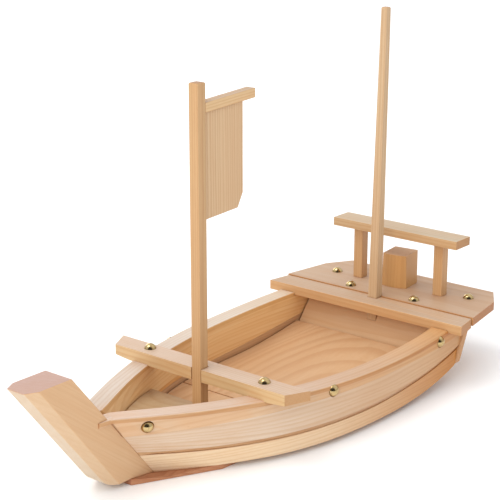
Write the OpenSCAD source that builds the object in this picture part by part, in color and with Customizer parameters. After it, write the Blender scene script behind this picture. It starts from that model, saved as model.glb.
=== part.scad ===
// Wooden serving boat with a stern deck, a stern rail and two masts that lift out.
// Millimetres. X runs from bow to stern, Y across the boat, Z up from the table.

/* [Hull plan] */
// X of the bow's foremost edge
bow_x = -218.2; // [-219.2:0.5:-217.2]
// Half width of the hull along its top edge
half_width_top = 80.6; // [80:0.1:81.5]
// Half width of the hull along its bottom edge
half_width_bottom = 81.4; // [80.5:0.1:82]
// X where the top edge is widest
widest_top_x = 80.2; // [76.2:0.5:84.2]
// X where the bottom edge is widest
widest_bottom_x = 94.2; // [88.2:0.5:98.2]
// How long the top edge stays full before it closes on the stem
top_fullness = 2; // [1.9:0.05:2.15]
// How long the bottom edge stays full before it closes on the stem
bottom_fullness = 3.3; // [3.1:0.05:3.4]
// Radius of the top edge behind its widest place
stern_radius_top = 400; // [350:10:480]
// Radius of the bottom edge behind its widest place
stern_radius_bottom = 1200; // [900:50:1500]

/* [Hull sides] */
// Thickness of the hull's sides, gunwales included
wall_t = 13.2; // [12.6:0.1:13.6]
// How far the upper strake stands out over the lower one
strake_step = 1.2; // [0.8:0.1:1.6]
// Depth of the groove along the upper strake's lower edge
groove_depth = 2.2; // [1.8:0.1:2.6]
// Height of that groove
groove_h = 2.8; // [2.4:0.1:3.2]
// Lowest height of the groove between the strakes
groove_z = 14.8; // [14.2:0.1:15.4]
// Height of the seam under the gunwale
seam_z = 35.4; // [34.8:0.1:35.6]
// Lowest height of the gunwale's top
sheer_z = 42.5; // [42.3:0.1:42.7]
// X where the gunwale's top is lowest
sheer_x = 48.2; // [44.2:1:52.2]
// Radius of the gunwale's hollow line from bow to stern
sheer_radius = 2300; // [2200:10:2500]
// Radius along the gunwale's outer top edge
gunwale_round = 1.2; // [1:0.1:1.6]
// Height of the cap along the gunwale's top
cap_h = 3.4; // [3:0.1:3.8]
// How far the cap stands out
cap_out = 0.5; // [0.3:0.1:0.6]
// How far the cap laps forward over the stem's side
cap_tip_l = 8; // [6:0.5:9]
// Thickness of the cap's front tip
cap_tip_t = 0.8; // [0.6:0.1:1]
// X where the groove is lowest
groove_low_x = 23.2; // [19.2:1:27.2]
// Radius of the groove's rise towards the bow
groove_bow_radius = 4500; // [4000:50:5000]
// Radius of the groove's rise towards the stern
groove_stern_radius = 800; // [760:5:850]
// X where the hull's bottom begins to rise
bottom_rise_x = 59.2; // [57.2:0.5:61.2]
// Radius of the rising bottom
bottom_rise_radius = 375; // [355:5:400]

/* [Stem] */
// Thickness of the stem post
stem_t = 23.2; // [22:0.1:24]
// Height of the stem post's top
stem_top_z = 87; // [84:0.5:90]
// Length of the stem post's top
stem_top_l = 35; // [34:0.1:36]
// X where the stem's rear face reaches the base board
stem_foot_x = -116.3; // [-117.8:0.5:-114.8]
// How far the stem's rear face leans forward for each unit of height
stem_rake = 0.806; // [0.79:0.002:0.82]
// How far the stem's front face leans forward for each unit of height
stem_front_rake = 0.786; // [0.776:0.002:0.796]
// How far the bevels beside the stem's front lean forward for each unit of height
stem_bevel_rake = 0.776; // [0.77:0.002:0.776]
// Radius of the stem's foot
stem_foot_round = 14; // [10:1:18]
// Width of the flat down the stem's front
stem_nose_w = 14.6; // [14:0.1:15]
// Length of the two bevels beside that flat
stem_bevel_l = 8.5; // [7.5:0.1:9.5]
// Length of the inner knee that the strakes are fixed to
knee_l = 16; // [15:0.5:17]

/* [Bottom and floors] */
// Thickness of the base board
base_t = 4; // [3.5:0.1:4.5]
// X of the base board's front end
base_front_x = -135.8; // [-137.8:0.5:-133.8]
// Width of the base board's front end
base_front_w = 24.8; // [24:0.1:28]
// X of the base board's rear end
base_rear_x = 58.2; // [56.2:0.5:60.2]
// X of the shoulders where the base board's straight front edges end
base_shoulder_x = -80.3; // [-81.3:0.5:-79.3]
// Half width of the base board at those shoulders
base_shoulder_half = 41.6; // [41:0.1:42.2]
// X where the base board's edges begin to follow the hull
base_join_x = -63.3; // [-65.3:0.5:-61.3]
// How far the base board is set in from the hull's outer face
base_inset = 10.5; // [10:0.1:11]
// X where the strakes begin to lap down over the base board, towards the bow
bow_drop_x = -59.5; // [-61:0.5:-58]
// Radius of the lower edge of the strakes there
bow_drop_radius = 540; // [520:5:600]
// Thickness of the floor boards
floor_t = 7; // [6.5:0.1:7.5]
// X of the joint between the two floor boards
floor_joint_x = -3.3; // [-5.8:0.1:-0.8]
// Width of that joint
floor_joint_gap = 1; // [0.6:0.1:1.2]
// X of the front floor board's front end
floor_front_x = -96.8; // [-97.8:0.5:-95.8]
// Height of the bow deck's rear edge above the floor
bow_deck_rise = 13.5; // [13:0.1:14]
// How far the bow deck rises towards the stem for each unit of length
bow_deck_slope = 0.19; // [0.17:0.005:0.2]
// Thickness of the bow deck
bow_deck_t = 6.8; // [6.4:0.1:7]
// X of the bow deck's rear edge
bow_deck_rear_x = -51.4; // [-52.3:0.1:-50.8]
// X of the bow deck's front end
bow_deck_front_x = -120.8; // [-121.3:0.5:-118.8]
// Width of each bearer under the bow deck
bow_bearer_w = 6; // [5:0.5:7]

/* [Transom] */
// X of the transom's front face at the base board's top
transom_x = 135.2; // [134.8:0.1:135.8]
// How far the transom leans aft for each unit of height
transom_rake = 0.5; // [0.48:0.005:0.52]
// Thickness of the transom along the boat
transom_t = 10.8; // [10:0.1:11.5]
// How far the sides lap back over the transom's rebated edge
transom_lap = 5.3; // [5:0.1:5.8]
// Height of the transom's lower edge
transom_bottom_z = 14; // [13.6:0.1:14.6]
// How far the transom's lower edge is set in from the strakes
transom_inset = 0.6; // [0.4:0.1:1]
// How far the transom stands out of the sides at its top
transom_out = 3.8; // [3.2:0.1:4.2]
// Size of the transom's two cut lower corners
transom_corner = 1.5; // [1:0.5:2.5]

/* [Thwart] */
// X of the thwart's front edge
thwart_x = -58.2; // [-58.4:0.1:-58]
// Width of the thwart along the boat
thwart_w = 16.7; // [16:0.1:17.5]
// Half length of the thwart's front edge
thwart_front_half = 75.2; // [74:0.1:77]
// Half length of the thwart's rear edge
thwart_rear_half = 83.4; // [82:0.1:85]
// Height of the thwart's underside
thwart_z = 44.3; // [44.2:0.05:44.5]
// Thickness of the thwart
thwart_t = 8.8; // [8.5:0.1:9.1]
// How far the thwart's underside rises at each end
thwart_end_rise = 2; // [1.5:0.1:2.3]
// Half the distance between the places where it begins to rise
thwart_taper_y = 62; // [60:0.5:64]
// Half the distance between the thwart's two nails
thwart_nail_y = 50.9; // [49:0.1:53]
// Distance from the thwart's front edge to its nails
thwart_nail_in = 9.7; // [9:0.1:10.5]

/* [Stern] */
// X of the stern beam's front face
beam_x = 134.4; // [134:0.1:134.8]
// Width of the stern beam along the boat
beam_w = 20.2; // [19.8:0.1:20.6]
// Height of the stern beam's underside
beam_z = 42.1; // [41.8:0.1:42.4]
// Thickness of the stern beam
beam_t = 7.5; // [7.2:0.1:8]
// Length of the stern beam
beam_l = 179; // [177:0.5:181]
// How far the beam's rear corners lie inside its front corners
beam_end_in = 3.6; // [3:0.1:4]
// X of the stern deck's rear edge
deck_rear_x = 218.2; // [217.2:0.5:219.2]
// Height of the stern deck's underside
deck_z = 43.9; // [43.7:0.1:44.1]
// Thickness of the stern deck
deck_t = 6.5; // [6:0.1:7]
// How far the stern deck's front corners lie inside the beam's ends
deck_front_in = 2.6; // [2.2:0.1:3]
// How far its side corners lie inside the beam's ends
deck_side_in = 9.4; // [9:0.1:10]
// How far the ends of its rear edge lie inside the beam's ends
deck_rear_in = 22; // [21:0.1:23]
// Distance from the deck's rear edge to its side corners
deck_corner_in = 20.6; // [19:0.1:22]
// Distance from the beam to the front pair of deck nails
deck_nail_front_in = 8; // [7:0.1:9]
// Half the distance between the front pair of deck nails
deck_nail_front_y = 29.7; // [28:0.1:31]
// Distance from the deck's rear edge to its rear pair of nails
deck_nail_rear_in = 24.6; // [23.5:0.1:26]
// How far the far one of that pair is set ahead of the near one
deck_nail_ahead = 8; // [7:0.5:9]
// Half the distance between the rear pair of deck nails
deck_nail_rear_y = 59.6; // [58:0.1:61]
// How far the ledger reaches aft of the stern beam
ledger_reach = 17.6; // [17:0.1:18.5]
// Height of the ledger's underside
ledger_z = 34; // [33:0.5:35]
// Half length of the ledger
ledger_half = 68; // [66:0.5:70]
// Height of the two bearers that run aft under the deck
bearer_h = 8.9; // [8:0.1:9.5]
// Width of each deck bearer
bearer_w = 9; // [8:0.5:10]
// How far the deck bearers stop short of the deck's rear edge
bearer_in = 13; // [11:0.5:16]

/* [Stern rail] */
// Side of the square rail posts
post_side = 8; // [7.5:0.1:8.5]
// Distance from the rear mast's front face at the beam's top to the middle of the rail posts
post_behind_mast = 37.7; // [36.7:0.1:38.7]
// Half the distance between the rail posts
post_y = 37.6; // [36:0.1:39]
// Height of the rail posts above the deck
post_h = 41.8; // [40:0.1:43]
// Width of the crossbar along the boat
crossbar_w = 19.9; // [19:0.1:21]
// How far the crossbar's front edge lies ahead of the posts' middle
crossbar_ahead = 10.7; // [10:0.1:11.5]
// Length of the crossbar
crossbar_l = 114.8; // [112:0.2:118]
// Thickness of the crossbar
crossbar_t = 6.7; // [6:0.1:7.5]
// Radius of the round tenons on the rail posts
tenon_r = 2; // [1.5:0.1:2.5]
// Length of the round tenons
tenon_l = 4; // [3:0.1:4.5]

/* [Deck block] */
// X of the middle of the deck block
block_x = 190.2; // [189.2:0.1:191.2]
// Y of the middle of the deck block
block_y = 2; // [1:0.1:3]
// Length of the deck block along the boat
block_l = 24; // [22:0.1:25]
// Width of the deck block
block_w = 21.4; // [20:0.1:23]
// Height of the deck block
block_h = 26.6; // [25:0.1:28]
// How much each upright side of the block leans in
block_taper = 0.7; // [0.4:0.1:1]
// Radius of the block's upright edges
block_round = 3; // [2:0.1:4]
// Bulge of the block's rounded front
block_bulge = 2.6; // [2:0.1:3.2]
// Turn of the block on the deck, in degrees
block_turn = 7; // [5:0.5:9]

/* [Masts and sail] */
// Side of the square front mast
front_mast_side = 7.8; // [7.5:0.1:8]
// Height of the front mast's top
front_mast_top_z = 246.5; // [240:0.5:252]
// Side of the rear mast at the deck
rear_mast_side = 7.9; // [7.6:0.1:8.1]
// Side of the rear mast at its top
rear_mast_tip = 5.2; // [5:0.1:5.6]
// Height of the rear mast's top
rear_mast_top_z = 273.2; // [268:0.5:278]
// X of the rear mast's front face at the beam's top
rear_mast_x = 149.1; // [148.9:0.1:149.3]
// Lean of the rear mast towards the stern, in degrees
rear_mast_lean = 1.3; // [1.1:0.1:1.5]
// Height of the rear mast's foot
rear_mast_foot_z = 31; // [30.5:0.5:32]
// Bevel round the top of both masts
mast_bevel = 0.6; // [0.4:0.1:0.8]
// Gap between the front mast and the notch in the thwart
notch_gap = 0.5; // [0.4:0.05:0.6]
// Gap between a mast and its square socket
socket_gap = 0.25; // [0.2:0.05:0.3]
// Height of the front mast's step
step_h = 5.8; // [5:0.1:5.9]
// Length of the front mast's step
step_l = 16; // [14:0.5:18]
// Width of the front mast's step
step_w = 20; // [18:0.5:24]
// Length of the yard
yard_l = 50.7; // [48:0.1:54]
// Height of the yard
yard_h = 6.5; // [6:0.1:7]
// Thickness of the yard
yard_t = 7.7; // [7.4:0.1:7.8]
// Height of the yard's underside at the mast
yard_z = 226.6; // [224:0.1:229]
// Rise of the yard towards the stern, in degrees
yard_pitch = 3; // [2:0.1:4]
// Thickness of the sail board
sail_t = 4; // [3.5:0.1:4.4]
// Length of the sail board along the boat
sail_l = 39.8; // [38:0.1:42]
// Height of the sail board's lower edge
sail_bottom_z = 154.9; // [152:0.1:158]
// Depth of the sail board in the yard
sail_rebate = 3; // [2:0.1:3.5]
// Length of the sail's cut lower corner
sail_corner_l = 5.4; // [4:0.1:7]
// Height of the sail's cut lower corner
sail_corner_h = 11.4; // [9:0.1:13]
// Rise of the sail's lower edge towards the stern
sail_foot_rise = 1.6; // [1:0.1:2.2]

/* [Nails] */
// Radius of a nail's domed head
nail_head_r = 4.3; // [4:0.1:4.4]
// Height of a nail's domed head
nail_head_h = 3.5; // [3:0.1:3.8]
// Radius of a nail's shank
nail_shank_r = 1.1; // [1:0.05:1.2]
// Length of a nail's shank
nail_shank_l = 11; // [10.6:0.1:11.2]
// Depth of the flat that seats each side nail
nail_seat = 0.4; // [0.3:0.05:0.6]
// Height of the side nails as a share of the gunwale's height above the seam
side_nail_share = 0.44; // [0.4:0.01:0.46]
// X of the front side nails
side_nail_front_x = -130.8; // [-131.8:0.5:-128.8]
// X of the middle side nails
side_nail_mid_x = -2.8; // [-5.8:0.5:0.2]
// X of the rear side nails
side_nail_rear_x = 122.2; // [121.2:0.5:124.2]

/* [Hidden] */
// Overrun that carries a cut past the face it opens
overrun = 1;
// Gap between the floor boards and the strakes
board_gap = 0.9;
// Gap between the bow deck or the transom and the strakes
fit_gap = 0.4;
// Gap ahead of the stern beam, in the gunwales, and between the beam and the deck
beam_gap = 0.5;
// Gap between a tenon and its hole
tenon_gap = 0.05;
// Least width by which a strake stands out of the stem's side
strake_lip = 0.3;
// Least width of the hull's outer face over the stem's side
bow_lip = 0.9;
// Half of the gap left between the two gunwales at the stem
gunwale_nose = 3.2;
// Height over which the groove opens out to the strake's face
groove_bevel = 0.4;
// Places along each strake
front_places = 26;
rear_places = 9;
// Sides that make a circle round
round_sides = 64;
arc_steps = 8;
// Height over which the hull's plan changes from the bottom's to the top's
plan_span = 50;
// Places of the front part at which the strakes lap over the base board
lap_places = 8;
// How far the base board's lowered edge reaches out past the strakes
lap_reach = 16;
// Gap between the strakes' inner faces and the base board where they lap over it
lap_gap = 0.3;
// Share of a rounded edge at which its middle corner lies
corner_share = 0.29;

stem_half = stem_t / 2;
hull_nose = stem_half + bow_lip;
floor_z = base_t + floor_t;
bow_deck_z = floor_z + bow_deck_rise - bow_deck_t;
deck_front_half = beam_l / 2 - deck_front_in;
deck_side_half = beam_l / 2 - deck_side_in;
deck_rear_half = beam_l / 2 - deck_rear_in;
mast_half = front_mast_side / 2;
beam_rear_x = beam_x + beam_w;
ledger_rear_x = beam_rear_x + ledger_reach;
bearer_l = deck_rear_x - ledger_rear_x - bearer_in;
deck_top_z = deck_z + deck_t;
mast_pitch_x = thwart_x + front_mast_side;
post_x = rear_mast_x + post_behind_mast;
bow_bearer_places = [-92.8, -72.8];
side_nail_places = [side_nail_front_x, side_nail_mid_x, side_nail_rear_x];

wood_hull = [0.86, 0.70, 0.50];
wood_trim = [0.90, 0.75, 0.56];
wood_pale = [0.93, 0.80, 0.62];
wood_floor = [0.82, 0.65, 0.44];
brass = [0.78, 0.62, 0.26];

// Hull surface

function blend(a, b, t) = a + (b - a) * t;

// Share of the way from the bottom's plan to the top's at a height
function plan_share(z) = (z - base_t) / plan_span;

function stem_x(z) = stem_foot_x - stem_rake * (z - base_t);

function transom_front_x(z) = transom_x + transom_rake * (z - base_t);

function side_rear_x(z) = transom_front_x(z) + transom_lap;

function widest_x(z) = blend(widest_bottom_x, widest_top_x, plan_share(z));

function widest_y(z) = blend(half_width_bottom, half_width_top, plan_share(z));

function fullness(z) = blend(bottom_fullness, top_fullness, plan_share(z));

function stern_bend(z) = blend(1 / (2 * stern_radius_bottom), 1 / (2 * stern_radius_top), plan_share(z));

// Share of the way from the widest place to the stem
function bow_share(x, z) = max(0, min(1, (widest_x(z) - x) / (widest_x(z) - stem_x(z))));

function hull_y(x, z) = hull_nose
    + (widest_y(z) - hull_nose) * (1 - pow(bow_share(x, z), fullness(z)))
    - stern_bend(z) * pow(max(0, x - widest_x(z)), 2);

function hull_slope(x, z) = x < widest_x(z)
    ? (widest_y(z) - hull_nose) * fullness(z) * pow(bow_share(x, z), fullness(z) - 1)
        / (widest_x(z) - stem_x(z))
    : -2 * stern_bend(z) * (x - widest_x(z));

// Width across the boat of one unit measured square to the hull's side
function across(x, z) = sqrt(1 + pow(hull_slope(x, z), 2));

// X of a place along the hull: 0 at the stem, 1 at the widest place, 2 at the sides' rear ends
function place_x(u, z) = u <= 1
    ? blend(stem_x(z), widest_x(z), u)
    : blend(widest_x(z), side_rear_x(z), u - 1);

function rising_arc(x, start, radius) = radius - sqrt(pow(radius, 2) - pow(max(0, x - start), 2));

function sheer_height(x) = sheer_z + pow(x - sheer_x, 2) / (2 * sheer_radius);

function groove_height(x) = groove_z
    + rising_arc(x, groove_low_x, groove_stern_radius)
    + rising_arc(-x, -groove_low_x, groove_bow_radius);

function bottom_height(x) = base_t
    + rising_arc(x, bottom_rise_x, bottom_rise_radius)
    - rising_arc(-x, -bow_drop_x, bow_drop_radius);

// Height of an edge at a place along the hull, found in two steps
function sheer_at(u) = sheer_height(place_x(u, sheer_height(place_x(u, sheer_z))));

function groove_at(u) = groove_height(place_x(u, groove_height(place_x(u, groove_z))));

function bottom_at(u) = bottom_height(place_x(u, bottom_height(place_x(u, base_t))));

// One corner of a strake: set in from the hull's outer face, but never past least_y
function corner(u, z, inset, least_y) = let (x = place_x(u, z))
    [x, max(hull_y(x, z) - inset * across(x, z), least_y), z];

function strake_places() = concat(
    [for (i = [0:front_places]) i / front_places],
    [for (i = [1:rear_places]) 1 + i / rear_places]
);

module strake(rings) {
    n = len(rings[0]);
    last = len(rings) - 1;
    polyhedron(
        points = [for (ring = rings) each ring],
        faces = concat(
            [[for (k = [0:n - 1]) k]],
            [[for (k = [0:n - 1]) last * n + n - 1 - k]],
            [
                for (i = [0:last - 1], k = [0:n - 1], half = [0:1])
                    let (a = i * n + k, b = i * n + (k + 1) % n)
                        half == 0 ? [a, a + n, b] : [b, a + n, b + n]
            ]
        )
    );
}

module near_side() {
    mirror([0, 1, 0]) children();
}

function inner_y(x, z) = hull_y(x, z) - wall_t * across(x, z);

// Half width between the hull's sides over the heights from z0 to z1
function room_y(x, z0, z1, gap = board_gap) = min(inner_y(x, z0), inner_y(x, z1)) - gap;

// Plan of a board that lies between the hull's sides and reaches from z0 up to z1, and rises forward by slope
module board_plan(x0, x1, z0, z1, slope = 0, gap = board_gap) {
    steps = front_places;
    points = [
        for (i = [0:steps])
            let (x = blend(x0, x1, i / steps), rise = slope * (x1 - x))
                [x, room_y(x, z0 + rise, z1 + rise, gap)]
    ];
    back = [for (i = [steps:-1:0]) [points[i][0], -points[i][1]]];
    polygon(concat(points, back));
}

module upright_box(x0, x1, half, z0, z1) {
    translate([x0, -half, z0]) cube([x1 - x0, 2 * half, z1 - z0]);
}

// Plan extruded between two heights
module slab(z0, z1) {
    translate([0, 0, z0]) linear_extrude(z1 - z0) children();
}

// Side view extruded across the boat
module side_slab(half) {
    rotate([90, 0, 0]) linear_extrude(2 * half, center = true) children();
}

// Nails

module nail() {
    sphere_r = (pow(nail_head_r, 2) + pow(nail_head_h, 2)) / (2 * nail_head_h);
    intersection() {
        translate([0, 0, nail_head_h - sphere_r]) sphere(sphere_r, $fn = round_sides);
        cylinder(nail_head_h + overrun, r = nail_head_r + overrun, $fn = round_sides);
    }
    translate([0, 0, -nail_shank_l])
        cylinder(nail_shank_l + nail_head_h / 2, r = nail_shank_r, $fn = round_sides);
}

module nail_hole() {
    translate([0, 0, -nail_shank_l - overrun])
        cylinder(nail_shank_l + 2 * overrun, r = nail_shank_r, $fn = round_sides);
}

// Flat under the head of a side nail
module nail_seat_cut() {
    cylinder(wall_t, r = nail_head_r, $fn = round_sides);
}

// Puts a nail that points out of the far gunwale's side in place
module at_side_nail(x) {
    z = blend(seam_z, sheer_height(x), side_nail_share);
    turn = atan(hull_slope(x, z));
    translate([x, hull_y(x, z), z]) rotate([-90, 0, turn]) translate([0, 0, -nail_seat]) children();
}

module side_nails() {
    for (x = side_nail_places) at_side_nail(x) nail();
}

module at_thwart_nails() {
    for (side = [-1, 1])
        translate([thwart_x + thwart_nail_in, side * thwart_nail_y, thwart_z + thwart_t]) children();
}

module at_deck_nails() {
    rear_x = deck_rear_x - deck_nail_rear_in;
    for (side = [-1, 1])
        translate([beam_rear_x + deck_nail_front_in, side * deck_nail_front_y, deck_top_z]) children();
    translate([rear_x, -deck_nail_rear_y, deck_top_z]) children();
    translate([rear_x - deck_nail_ahead, deck_nail_rear_y, deck_top_z]) children();
}

// Masts

// Space of the rear mast below the deck's top, widened by a gap on every side
module rear_mast_space(gap) {
    half = rear_mast_side / 2 + gap;
    translate([rear_mast_x + rear_mast_side / 2, 0, beam_z + beam_t])
        rotate([0, rear_mast_lean, 0])
            translate([-half, -half, rear_mast_foot_z - beam_z - beam_t])
                cube([2 * half, 2 * half, deck_top_z - rear_mast_foot_z + 2 * overrun]);
}

module front_mast_space(gap, z0, z1) {
    translate([thwart_x - gap, -mast_half - gap, z0])
        cube([front_mast_side + 2 * gap, front_mast_side + 2 * gap, z1 - z0]);
}

// Hull

// Room that the stem's foot and the strakes' lower edges take from the base board's top
module base_lap() {
    low_z = bottom_at(0);
    side_slab(base_shoulder_half)
        polygon([
            [base_front_x, base_t],
            [stem_x(low_z), low_z],
            [stem_x(low_z), base_t + overrun],
            [base_front_x, base_t + overrun]
        ]);
    strake([
        for (i = [0:lap_places])
            let (u = i / front_places, z0 = bottom_at(u), z1 = base_t + overrun)
                [
                    corner(u, z0, -lap_reach, 0),
                    corner(u, z1, -lap_reach, 0),
                    corner(u, z1, wall_t + lap_gap, stem_half),
                    corner(u, z0, wall_t + lap_gap, stem_half)
                ]
    ]);
}

module base_board() {
    color(wood_floor)
        difference() {
            slab(0, base_t) {
                steps = front_places;
                side = concat(
                    [[base_front_x, base_front_w / 2], [base_shoulder_x, base_shoulder_half]],
                    [
                        for (i = [0:steps])
                            let (x = blend(base_join_x, base_rear_x, i / steps))
                                [x, hull_y(x, base_t) - base_inset * across(x, base_t)]
                    ]
                );
                back = [for (i = [len(side) - 1:-1:0]) [side[i][0], -side[i][1]]];
                polygon(concat(side, back));
            }
            base_lap();
            near_side() base_lap();
        }
}

module stem_post() {
    front_cos = 1 / sqrt(1 + pow(stem_front_rake, 2));
    front_angle = atan(stem_front_rake);
    foot_z = base_t + stem_foot_round;
    foot_x = bow_x + (stem_top_z - foot_z) * stem_front_rake + stem_foot_round / front_cos;
    foot_arc = [
        for (i = [0:arc_steps])
            let (a = blend(180 + front_angle, 270, i / arc_steps))
                [foot_x + stem_foot_round * cos(a), foot_z + stem_foot_round * sin(a)]
    ];
    nose_x = bow_x + stem_top_z * stem_bevel_rake;
    low_z = bottom_at(0);
    color(wood_trim)
        intersection() {
            side_slab(stem_half)
                polygon(concat(
                    [[bow_x, stem_top_z]],
                    foot_arc,
                    [
                        [base_front_x, base_t],
                        [stem_x(low_z), low_z],
                        [stem_x(low_z), base_t],
                        [stem_x(base_t) + knee_l, base_t],
                        [stem_x(seam_z) + knee_l, seam_z],
                        [stem_x(seam_z), seam_z],
                        [bow_x + stem_top_l, stem_top_z]
                    ]
                ));
            multmatrix([
                [1, 0, -stem_bevel_rake, 0],
                [0, 1, 0, 0],
                [0, 0, 1, 0],
                [0, 0, 0, 1]
            ])
                linear_extrude(stem_top_z + overrun)
                    polygon([
                        [nose_x, -stem_nose_w / 2],
                        [nose_x + stem_bevel_l, -stem_half],
                        [nose_x - 3 * bow_x, -stem_half],
                        [nose_x - 3 * bow_x, stem_half],
                        [nose_x + stem_bevel_l, stem_half],
                        [nose_x, stem_nose_w / 2]
                    ]);
        }
}

module lower_strake() {
    outer = stem_half + strake_lip;
    strake([
        for (u = strake_places())
            let (z0 = bottom_at(u), z1 = groove_at(u))
                [
                    corner(u, z0, strake_step, outer),
                    corner(u, z1, strake_step, outer),
                    corner(u, z1, wall_t, stem_half),
                    corner(u, z0, wall_t, stem_half)
                ]
    ]);
}

module lower_strake_far() {
    color(wood_hull) lower_strake();
}

module lower_strake_near() {
    color(wood_hull) near_side() lower_strake();
}

module upper_strake() {
    outer = stem_half + strake_lip;
    difference() {
        strake([
            for (u = strake_places())
                let (z0 = groove_at(u))
                    [
                        corner(u, z0, groove_depth, outer),
                        corner(u, z0 + groove_h, groove_depth, outer),
                        corner(u, z0 + groove_h + groove_bevel, 0, outer),
                        corner(u, seam_z, 0, outer),
                        corner(u, seam_z, wall_t, stem_half),
                        corner(u, z0, wall_t, stem_half)
                    ]
        ]);
        for (x = side_nail_places) at_side_nail(x) nail_seat_cut();
    }
}

module upper_strake_far() {
    color(wood_hull) upper_strake();
}

module upper_strake_near() {
    color(wood_hull) near_side() upper_strake();
}

// Front tip of the gunwale's cap, which laps over the stem's side
module gunwale_tip() {
    tip_z = sheer_at(0);
    tip_x = stem_x(tip_z);
    slab(tip_z - cap_h, tip_z)
        polygon([
            [tip_x - cap_tip_l, stem_half],
            [tip_x - cap_tip_l, stem_half + cap_tip_t],
            [tip_x, hull_nose + cap_out],
            [tip_x + cap_h, hull_nose + cap_out],
            [tip_x + cap_h, stem_half]
        ]);
}

module gunwale() {
    round_in = corner_share * gunwale_round;
    difference() {
        union() {
            strake([
                for (u = strake_places())
                    let (z1 = sheer_at(u))
                        [
                            corner(u, seam_z, 0, gunwale_nose),
                            corner(u, z1 - cap_h, 0, gunwale_nose),
                            corner(u, z1 - cap_h, -cap_out, gunwale_nose),
                            corner(u, z1 - gunwale_round, -cap_out, gunwale_nose),
                            corner(u, z1 - round_in, round_in - cap_out, gunwale_nose),
                            corner(u, z1, gunwale_round - cap_out, gunwale_nose),
                            corner(u, z1, wall_t, gunwale_nose),
                            corner(u, seam_z, wall_t, gunwale_nose)
                        ]
            ]);
            gunwale_tip();
        }
        upright_box(thwart_x, thwart_x + thwart_w, beam_l, thwart_z, stem_top_z);
        upright_box(beam_x - beam_gap, deck_rear_x, beam_l, beam_z, stem_top_z);
        at_thwart_nails() nail_hole();
        for (x = side_nail_places)
            at_side_nail(x) {
                nail_hole();
                nail_seat_cut();
            }
    }
}

module gunwale_far() {
    color(wood_trim) gunwale();
}

module gunwale_near() {
    color(wood_trim) near_side() gunwale();
}

// Leans its children aft with the transom by moving each layer back by its height
module lean_aft() {
    multmatrix([
        [1, 0, transom_rake, transom_x - transom_rake * base_t],
        [0, 1, 0, 0],
        [0, 0, 1, 0],
        [0, 0, 0, 1]
    ])
        children();
}

// The transom's edges are rebated, so that its front part fits between the sides
module transom() {
    bottom_y = hull_y(side_rear_x(transom_bottom_z), transom_bottom_z) - transom_inset;
    top_y = hull_y(side_rear_x(beam_z), beam_z) + transom_out;
    room_low = inner_y(side_rear_x(transom_bottom_z), transom_bottom_z) - fit_gap;
    room_high = inner_y(side_rear_x(beam_z), beam_z) - fit_gap;
    low_y = blend(bottom_y, top_y, transom_corner / (beam_z - transom_bottom_z));
    low_z = transom_bottom_z + transom_corner;
    color(wood_pale)
        difference() {
            lean_aft() {
                translate([transom_lap, 0, 0])
                    rotate([90, 0, 90])
                        linear_extrude(transom_t - transom_lap)
                            polygon([
                                [-bottom_y + transom_corner, transom_bottom_z],
                                [bottom_y - transom_corner, transom_bottom_z],
                                [low_y, low_z],
                                [top_y, beam_z],
                                [-top_y, beam_z],
                                [-low_y, low_z]
                            ]);
                rotate([90, 0, 90])
                    linear_extrude(transom_t - overrun)
                        polygon([
                            [-room_low, transom_bottom_z],
                            [room_low, transom_bottom_z],
                            [room_high, beam_z],
                            [-room_high, beam_z]
                        ]);
            }
            rear_mast_space(socket_gap);
            at_deck_nails() nail_hole();
        }
}

// Floors

module front_floor_board() {
    color(wood_floor)
        slab(base_t, floor_z)
            board_plan(floor_front_x, floor_joint_x - floor_joint_gap / 2, base_t, floor_z);
}

// The main board is bent up towards the transom, level with the strakes' lower edges
module main_floor_board() {
    x0 = floor_joint_x + floor_joint_gap / 2;
    rear_z = bottom_height(transom_front_x(transom_bottom_z));
    rear_x = transom_front_x(rear_z) - board_gap;
    under = [
        for (i = [0:arc_steps])
            let (x = blend(bottom_rise_x, rear_x, i / arc_steps))
                [x, bottom_height(x)]
    ];
    over = [
        for (i = [arc_steps:-1:0])
            under[i] + [0, floor_t]
    ];
    color(wood_floor)
        intersection() {
            side_slab(half_width_bottom)
                polygon(concat([[x0, base_t]], under, over, [[x0, floor_z]]));
            slab(0, stem_top_z) board_plan(x0, rear_x, base_t, rear_z + floor_t);
        }
}

// Height of the sloping bow deck's underside
function under_bow_deck(x) = bow_deck_z + bow_deck_slope * (bow_deck_rear_x - x);

module bow_deck() {
    front_z = under_bow_deck(bow_deck_front_x);
    color(wood_trim)
        difference() {
            intersection() {
                side_slab(half_width_top)
                    polygon([
                        [bow_deck_front_x, front_z],
                        [bow_deck_rear_x, bow_deck_z],
                        [bow_deck_rear_x, bow_deck_z + bow_deck_t],
                        [bow_deck_front_x, front_z + bow_deck_t]
                    ]);
                slab(0, stem_top_z)
                    board_plan(
                        bow_deck_front_x, bow_deck_rear_x, bow_deck_z, bow_deck_z + bow_deck_t,
                        bow_deck_slope, fit_gap
                    );
            }
            front_mast_space(notch_gap, floor_z, stem_top_z);
        }
}

// The bearers' tops slope with the deck
module bow_deck_bearers() {
    color(wood_floor)
        for (x = bow_bearer_places)
            let (x0 = x - bow_bearer_w / 2, x1 = x + bow_bearer_w / 2)
                side_slab(room_y(x0, floor_z, under_bow_deck(x0)))
                    polygon([[x0, floor_z], [x1, floor_z], [x1, under_bow_deck(x1)], [x0, under_bow_deck(x0)]]);
}

// Thwart, beam and stern deck

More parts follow.
